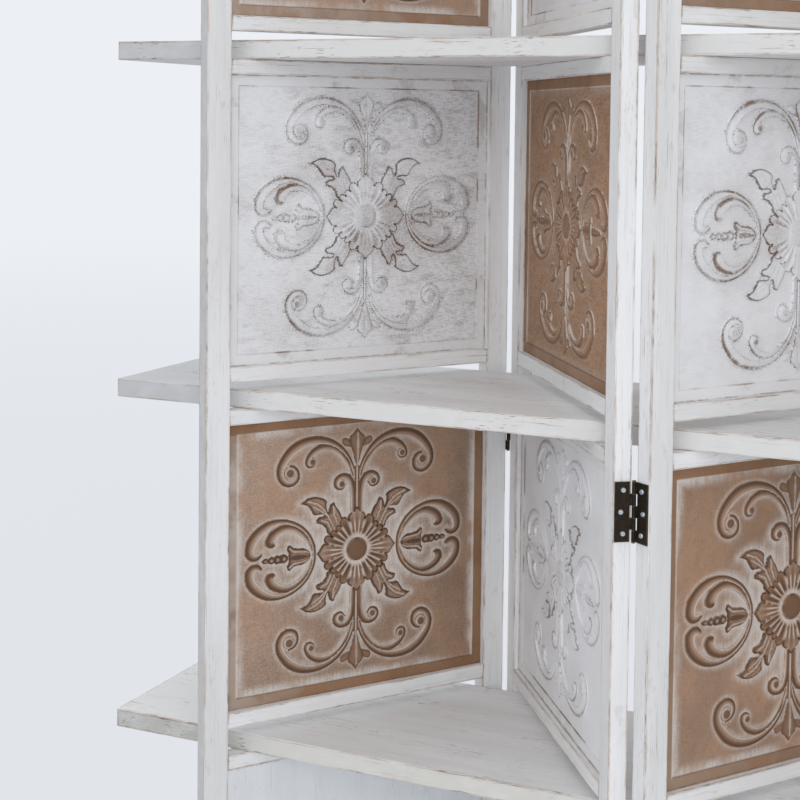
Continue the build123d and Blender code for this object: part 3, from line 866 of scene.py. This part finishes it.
def leaf_points(outline, veins):
    """Points on one leaf: round its edge, over its face and beside its veins."""
    spots = outline_rings(outline, 1.8)
    (left, low), (right, high) = np.min(outline, axis=0), np.max(outline, axis=0)
    grid = np.stack(np.meshgrid(np.arange(left, right, 2.2), np.arange(low, high, 2.2)), -1).reshape(-1, 2)
    spots.append(grid[inside_distance(grid, outline) > 2.0])
    for vein in veins:
        line = smooth_line([(x, y, 1.0) for x, y in vein], 2.0)[:, :2]
        for off in (-1.1, 0.0, 1.1):
            beside = line + leftward(np.gradient(line, axis=0)) * off
            spots.append(beside[inside_distance(beside, outline) > 0.4])
    return spots


def carving_points(step):
    """Points that the carving's surface has to pass through, for its right upper quarter."""
    scrolls = np.vstack([spots for points, roll in SCROLLS.values() for spots in scroll_points(points, roll, step)])
    rises = np.arange(RIDGE_ENDS[0] + 0.4, RIDGE_ENDS[1], 1.4)
    found = [scrolls[~by_ridge(scrolls, 0.5)]]
    found += [np.stack([np.full(len(rises), row), rises], axis=1) for row in RIDGE_ROWS]
    for outline, veins, *_ in LEAVES.values():
        found += leaf_points(outline, veins)
    found += [ring[(ring > -0.05).all(1)] for ring in outline_rings(closed_flower(), 1.3)]
    for x, y, wide, tall in BEADS:
        for share in (0.0, 0.55, 0.85, 1.0, 1.15):
            found.append(round_spots((x, y), (share * wide, share * tall), full_turn(10 if share else 1)))
    for axis, spread, _, _, kind in PETALS:
        for place in CUT_PLACES[kind]:
            edge, way = edge_at(np.clip(axis + place * spread * 0.9999, 0, 90))
            found.append(np.outer(RING_RADIUS + np.arange(0, 0.93, 0.08) * (edge - RING_RADIUS), way))
    for reach in BOSS_CUTS:
        count = max(6, round(2 * math.pi * reach / 3.2 / 4) * 4) if reach else 1
        found.append(round_spots((0, 0), reach, full_turn(count)))
    spots = np.vstack(found)
    return spots[(spots > -0.05).all(1)]


def thin_out(spots, apart):
    """Drops each point that lies too near an earlier one."""
    cells, kept = {}, []
    for x, y in spots.tolist():
        cell = (math.floor(x / apart), math.floor(y / apart))
        near = (cells.get((cell[0] + i, cell[1] + j), ()) for i in (-1, 0, 1) for j in (-1, 0, 1))
        if any((x - px) ** 2 + (y - py) ** 2 < apart * apart for group in near for px, py in group):
            continue
        cells.setdefault(cell, []).append((x, y))
        kept.append((x, y))
    return kept


def field_grid(spacing, nearest, furthest):
    """Points of a staggered grid that lie between two distances from the carving."""
    rows = enumerate(np.arange(-150, 150, spacing * 0.866))
    grid = np.array([(x + (spacing / 2 if n % 2 else 0), y) for n, y in rows for x in np.arange(-158, 158, spacing)])
    away = relief_at(grid)[3]
    return grid[(away > nearest) & (away <= furthest)]


def haze_at(spots, outside, width):
    """How thick the white haze lies: most round the carving's middle, fading with the distance from the carving."""
    from_flower = np.hypot(*spots.T * [[0.9], [1.0]])
    reach = np.interp(from_flower, [60, 115], [width, width * 0.34])
    near = np.clip(1 - np.clip(outside, 0, None) / reach, 0, 1) ** 1.4
    return near * np.interp(from_flower, [50, 90, 140], [1.0, 0.7, 0.55])


def carved_mesh(centre):
    """A carved infill board as one closed mesh, with what the finish needs to know left on its points.

    centre is where the carving's middle lies, in millimetres right of and above the board's middle.
    """
    settings = bpy.context.scene.divider_carving
    spots, edges = [], []
    step_foot = [half - STEP_WIDTH for half in FIELD_HALF]
    for (wide, tall), step in ((BOARD_HALF, 22.0), (FIELD_HALF, 8.0), (step_foot, 8.0)):
        line = densify([(-wide, -tall), (wide, -tall), (wide, tall), (-wide, tall)], step)
        first = len(spots)
        spots += line
        edges += [(first + n, first + (n + 1) % len(line)) for n in range(len(line))]

    quarter = carving_points(settings.scroll_step * 1000)
    carving = thin_out(np.vstack([quarter * signs for signs in ((1, 1), (-1, 1), (1, -1), (-1, -1))]), CARVING_APART)
    field = thin_out(np.vstack([field_grid(*grid) for grid in FIELD_GRIDS]), FIELD_APART)
    moved = ((x + centre[0], z + centre[1]) for x, z in carving + field)
    spots += [(x, z) for x, z in moved
              if abs(x) < FIELD_HALF[0] - FIELD_MARGIN and abs(z) < FIELD_HALF[1] - FIELD_MARGIN]

    flat, _, faces, *_ = delaunay_2d_cdt([Vector(spot) for spot in spots], edges, [], 0, 1e-5)
    places = np.array([tuple(spot) for spot in flat])
    up, dark, white, outside, drawn = relief_at(places - np.array(centre))
    past = (np.abs(places) - FIELD_HALF).max(1)
    depth = np.where(past > -0.01, BORDER_DEPTH, FIELD_DEPTH - up * settings.relief_height * 1000)
    dark, white, drawn = (np.where(past > -2.5, 0.0, values) for values in (dark, white, drawn))
    haze = np.where(past > 0.5, 0.0, haze_at(places - np.array(centre), outside, settings.haze_width * 1000))

    readings = {"outside_carving": np.minimum(outside, FAR_OUT), "dark_glaze": dark, "rubbed_white": white,
                "white_haze": haze, "drawn_edge": drawn}
    mesh = bmesh.new()
    layers = [mesh.verts.layers.float.new(name) for name in readings]
    corners = []
    for (x, z), y, *values in zip(places, depth, *readings.values()):
        corner = mesh.verts.new((x / 1000, y / 1000, z / 1000))
        for layer, value in zip(layers, values):
            corner[layer] = float(value)
        corners.append(corner)
    for face in faces:
        mesh.faces.new([corners[n] for n in face])
    wall = bmesh.ops.extrude_edge_only(mesh, edges=[edge for edge in mesh.edges if edge.is_boundary])["geom"]
    for corner in wall:
        if isinstance(corner, bmesh.types.BMVert):
            corner.co.y = BACK_DEPTH / 1000
            corner[layers[0]] = FAR_OUT
    bmesh.ops.holes_fill(mesh, edges=[edge for edge in mesh.edges if edge.is_boundary], sides=0)
    bmesh.ops.recalc_face_normals(mesh, faces=mesh.faces)
    for face in mesh.faces:
        face.smooth = True
    made = bpy.data.meshes.new("carved_board")
    mesh.to_mesh(made)
    mesh.free()
    made.set_sharp_from_angle(angle=math.radians(SHARP_ANGLE))
    return made


def leaf_matrix(leaf, height):
    """Where a board's middle sits in a leaf: x along the leaf, y from its front to its back."""
    x, y, turn = LEAF_PLACES[leaf]
    corner = Matrix.Translation((x, y, 0)) @ Matrix.Rotation(math.radians(turn), 4, "Z")
    return corner @ Matrix.Translation((LEAF_MIDDLE, 0, height))


# ---------------------------------------------------------------- stage


def light_room(scene, stage):
    """Even daylight from all round, with a plain backdrop for the camera and for mirrors."""
    world = bpy.data.worlds.new("pale_room")
    scene.world = world
    air = Mixing(world, "ShaderNodeOutputWorld")
    room = air.node("ShaderNodeBackground", {"Color": SKY_WHITE, "Strength": stage.daylight})
    back = air.node("ShaderNodeBackground", {"Color": tuple(stage.backdrop)})
    air.put(air.shown, air.node("ShaderNodeMixShader", {0: air.seen(), 1: room, 2: back}))


def pale_floor(stage):
    """The floor's finish: seen straight on it fades into the room behind it, and it still takes the shadow."""
    finish = Finish("pale_floor")
    dust = finish.speckle(finish.place(), scale=1.5)
    finish.finished(finish.mix(dust, colour(226, 229, 234), colour(231, 234, 239)), 0.9, specular=0.0)
    far = finish.node("ShaderNodeVectorMath", {0: finish.place()}, output="Value", operation="LENGTH")
    bright = finish.mix(finish.fade(far, *FLOOR_FADE), colour(230, 233, 239), tuple(stage.backdrop))
    glow = finish.node("ShaderNodeEmission", {"Color": bright})
    share = finish.times(finish.seen(), finish.fade(far, *FLOOR_FADE, 0.78, 1.0))
    finish.put(finish.shown, finish.node("ShaderNodeMixShader", {0: share, 1: finish.surface.outputs["BSDF"], 2: glow}))
    return finish.material


def add_to_scene(scene, name, data):
    made = bpy.data.objects.new(name, data)
    scene.collection.objects.link(made)
    return made


def lay_floor(scene, stage):
    sheet = bmesh.new()
    bmesh.ops.create_grid(sheet, x_segments=4, y_segments=4, size=20.0)
    ground = bpy.data.meshes.new("studio_floor")
    sheet.to_mesh(ground)
    sheet.free()
    ground.materials.append(pale_floor(stage))
    floor = add_to_scene(scene, "studio_floor", ground)
    floor.location.z = CAD_BOX[0][2] - 0.0005


def hang_lamps(scene, stage):
    for name, (place, share) in LAMPS.items():
        light = bpy.data.lights.new(name, "AREA")
        light.shape = "SQUARE"
        light.size = LAMP_SIZE
        light.energy = stage.window_power * share
        light.color = SKY_WHITE
        lamp = add_to_scene(scene, name, light)
        lamp.location = place
        lamp.rotation_mode = "QUATERNION"
        lamp.rotation_quaternion = (Vector(LIT_SPOT) - Vector(place)).to_track_quat("-Z", "Y")
        lamp.visible_camera = False


def set_camera(scene, stage):
    heading, pitch, roll = (math.radians(turn) for turn in CAMERA_TURNS)
    ahead = Vector((math.sin(heading) * math.cos(pitch), math.cos(heading) * math.cos(pitch), math.sin(pitch)))
    right = Vector((math.cos(heading), -math.sin(heading), 0))
    top = right.cross(ahead)
    right, top = right * math.cos(roll) + top * math.sin(roll), top * math.cos(roll) - right * math.sin(roll)
    camera = bpy.data.cameras.new("photo_camera")
    camera.sensor_width = 36.0
    camera.lens = stage.focal_length
    camera.shift_y = CAMERA_SHIFT
    camera.clip_start, camera.clip_end = 0.05, 200.0
    eye = add_to_scene(scene, "photo_camera", camera)
    eye.matrix_world = Matrix.Translation(CAMERA_PLACE) @ Matrix((right, top, -ahead)).transposed().to_4x4()
    scene.camera = eye
    scene.view_settings.view_transform = "Standard"


# ---------------------------------------------------------------- operators


class DIVIDER_OT_finish_frames(bpy.types.Operator):
    """Whitewash the stiles and rails of the four leaves"""

    bl_idname = "divider.finish_frames"
    bl_label = "Finish Frames"

    def execute(self, context):
        upright = whitewashed_wood("whitewashed_stile", "z", flecks=0.35)
        dress([f"leaf_{leaf}_{side}_stile" for leaf in LEAF_PLACES for side in ("left", "right")], upright)
        # The outer stiles' outer side faces take a painted shade.
        for leaf, side, way in (("a", "left", -1.0), ("d", "right", 1.0)):
            outer = whitewashed_wood(f"whitewashed_outer_stile_{leaf}", "z", turn=LEAF_PLACES[leaf][2], flecks=0.35,
                                     shaded_face=((way, 0.0, 0.0), colour(198, 198, 198)))
            dress([f"leaf_{leaf}_{side}_stile"], outer)
        for name, turn, leaves in (("whitewashed_rail_rising", 55.0, "ac"), ("whitewashed_rail_falling", -55.0, "bd")):
            dress([f"leaf_{leaf}_rails" for leaf in leaves],
                  whitewashed_wood(name, "x", turn=turn, flecks=0.35, seed=turn))
        return {"FINISHED"}


class DIVIDER_OT_finish_plain_boards(bpy.types.Operator):
    """Whitewash the plain bottom boards"""

    bl_idname = "divider.finish_plain_boards"
    bl_label = "Finish Plain Boards"

    def execute(self, context):
        board = whitewashed_wood("whitewashed_plain_board", "z", wear=0.35, flecks=0.5, streaks=0.45, seed=3.0,
                                 cool=0.28)
        dress([f"leaf_{leaf}_plain_panel" for leaf in LEAF_PLACES], board)
        return {"FINISHED"}


class DIVIDER_OT_finish_shelves(bpy.types.Operator):
    """Whitewash the three shelf boards, grain along their length"""

    bl_idname = "divider.finish_shelves"
    bl_label = "Finish Shelves"

    def execute(self, context):
        # The shelves' front faces take a painted shade.
        front = (0.0, -1.0, 0.0)
        # Past the outer stiles the ends take painted light and shade: the lower shelf's top lighter, the other tops and
        # all the fronts darker.
        board = whitewashed_wood("whitewashed_shelf", "x", wear=1.1, seed=7.0,
                                 shaded_face=(front, colour(222, 221, 219)),
                                 overhang_light_and_shade=(colour(212, 214, 217), colour(194, 195, 197)))
        dress(["middle_shelf", "top_shelf"], board)
        # The lower shelf's front is tinted cream and darkened with a painted shade.
        cream_and_shade = whitewashed_wood("whitewashed_shelf_cream_and_shaded_edge", "x", wear=1.25, streaks=0.9, seed=9.0,
                                 shaded_face=(front, colour(213, 211, 205)),
                                 overhang_light_and_shade=(colour(244, 246, 248), colour(184, 183, 179)))
        dress(["lower_shelf"], cream_and_shade)
        return {"FINISHED"}


class DIVIDER_OT_carve_boards(bpy.types.Operator):
    """Carve the twelve infill boards and give them their tan or white finish"""

    bl_idname = "divider.carve_boards"
    bl_label = "Carve Boards"

    def execute(self, context):
        masters = {}
        tan = carved_board_finish("tan_carved_board", True)
        white = carved_board_finish("white_carved_board", False)
        for number, (leaf, tier) in enumerate((leaf, tier) for leaf in LEAF_PLACES for tier in TIER_HEIGHTS):
            is_tan = (leaf, tier) in TAN_BOARDS
            centre = MOTIF_CENTRES.get((leaf, tier), OTHER_CENTRE)
            if centre not in masters:
                masters[centre] = carved_mesh(centre)
            shape = masters[centre].copy()
            shape.name = f"carved_board_{leaf}_{tier}"
            spots = np.empty(len(shape.vertices) * 3, np.float32)
            shape.vertices.foreach_get("co", spots)
            # How dark the board is across it: stain and painted shade, from the table.
            middle, rightward, upward = BOARD_SHADE_AND_STAIN.get((leaf, tier), OTHER_SHADE_AND_STAIN)
            shade_and_stain = middle + (rightward * spots[0::3] / BOARD_HALF[0] + upward * spots[2::3] / BOARD_HALF[1]) * 1000
            wear = BOARD_WEAR.get((leaf, tier), OTHER_WEAR)
            for reading, value in (("board_seed", 0.37 * number), ("board_wear", wear), ("board_shade_and_stain", shade_and_stain)):
                kept = shape.attributes.new(reading, "FLOAT", "POINT")
                kept.data.foreach_set("value", np.broadcast_to(value, len(shape.vertices)).astype(np.float32))
            shape.materials.append(tan if is_tan else white)
            board = add_to_scene(context.scene, f"carved_board_{leaf}_{tier}", shape)
            board.matrix_world = leaf_matrix(leaf, TIER_HEIGHTS[tier])
            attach(board, f"leaf_{leaf}")
            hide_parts(f"leaf_{leaf}_{tier}_infill")
        for master in masters.values():
            bpy.data.meshes.remove(master)
        return {"FINISHED"}


class DIVIDER_OT_finish_hinges(bpy.types.Operator):
    """Plate the hinges and their pins and screws"""

    bl_idname = "divider.finish_hinges"
    bl_label = "Finish Hinges"

    def execute(self, context):
        bronze = plated_metal("antique_bronze_hinge", 180, 4.0, 0.68, (colour(38, 31, 25), colour(56, 45, 34)),
                              0.75, (0.42, 0.60), (0.0002, 0.35), rubbed=colour(136, 118, 68))
        brass = plated_metal("aged_brass_pin", 240, 4.0, 0.68, (colour(112, 96, 56), colour(148, 126, 78)),
                             0.85, (0.34, 0.52), (0.0002, 0.3))
        zinc = plated_metal("bright_zinc_screw", 700, 3.0, 0.65, (colour(214, 220, 226), colour(176, 184, 192)),
                            0.7, (0.25, 0.42), (0.0001, 0.3))
        for part, metal in (("_hinge_plates", bronze), ("_hinge_pins", brass), ("_hinge_screws", zinc)):
            dress([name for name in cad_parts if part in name], metal)
        return {"FINISHED"}


class DIVIDER_OT_set_stage(bpy.types.Operator):
    """Lay the floor, hang the soft lights and set the camera"""

    bl_idname = "divider.set_stage"
    bl_label = "Set Stage"

    def execute(self, context):
        scene = context.scene
        for part in (light_room, lay_floor, hang_lamps, set_camera):
            part(scene, scene.divider_stage)
        return {"FINISHED"}


class DIVIDER_PT_sidebar(bpy.types.Panel):
    """Steps that dress the folding room divider"""

    bl_idname = "DIVIDER_PT_sidebar"
    bl_label = "Folding Room Divider"
    bl_space_type = "VIEW_3D"
    bl_region_type = "UI"
    bl_category = "Divider"

    def draw(self, context):
        layout = self.layout
        for step in STEPS:
            layout.operator(step.bl_idname)
        for group in (context.scene.divider_carving, context.scene.divider_finish, context.scene.divider_stage):
            box = layout.box()
            for name in group.__annotations__:
                box.prop(group, name)


STEPS = (
    DIVIDER_OT_set_stage,
    DIVIDER_OT_finish_frames,
    DIVIDER_OT_finish_plain_boards,
    DIVIDER_OT_finish_shelves,
    DIVIDER_OT_carve_boards,
    DIVIDER_OT_finish_hinges,
)
GROUPS = {
    "divider_carving": CarvingSettings,
    "divider_finish": FinishSettings,
    "divider_stage": StageSettings,
}


def register():
    for made in (*GROUPS.values(), *STEPS, DIVIDER_PT_sidebar):
        bpy.utils.register_class(made)
    for name, group in GROUPS.items():
        setattr(bpy.types.Scene, name, bpy.props.PointerProperty(type=group))


def unregister():
    for name in GROUPS:
        delattr(bpy.types.Scene, name)
    for made in reversed((*GROUPS.values(), *STEPS, DIVIDER_PT_sidebar)):
        bpy.utils.unregister_class(made)


def main():
    register()
    bpy.ops.divider.set_stage()
    bpy.ops.divider.finish_frames()
    bpy.ops.divider.finish_plain_boards()
    bpy.ops.divider.finish_shelves()
    bpy.ops.divider.carve_boards()
    bpy.ops.divider.finish_hinges()


if __name__ == "__main__":
    main()
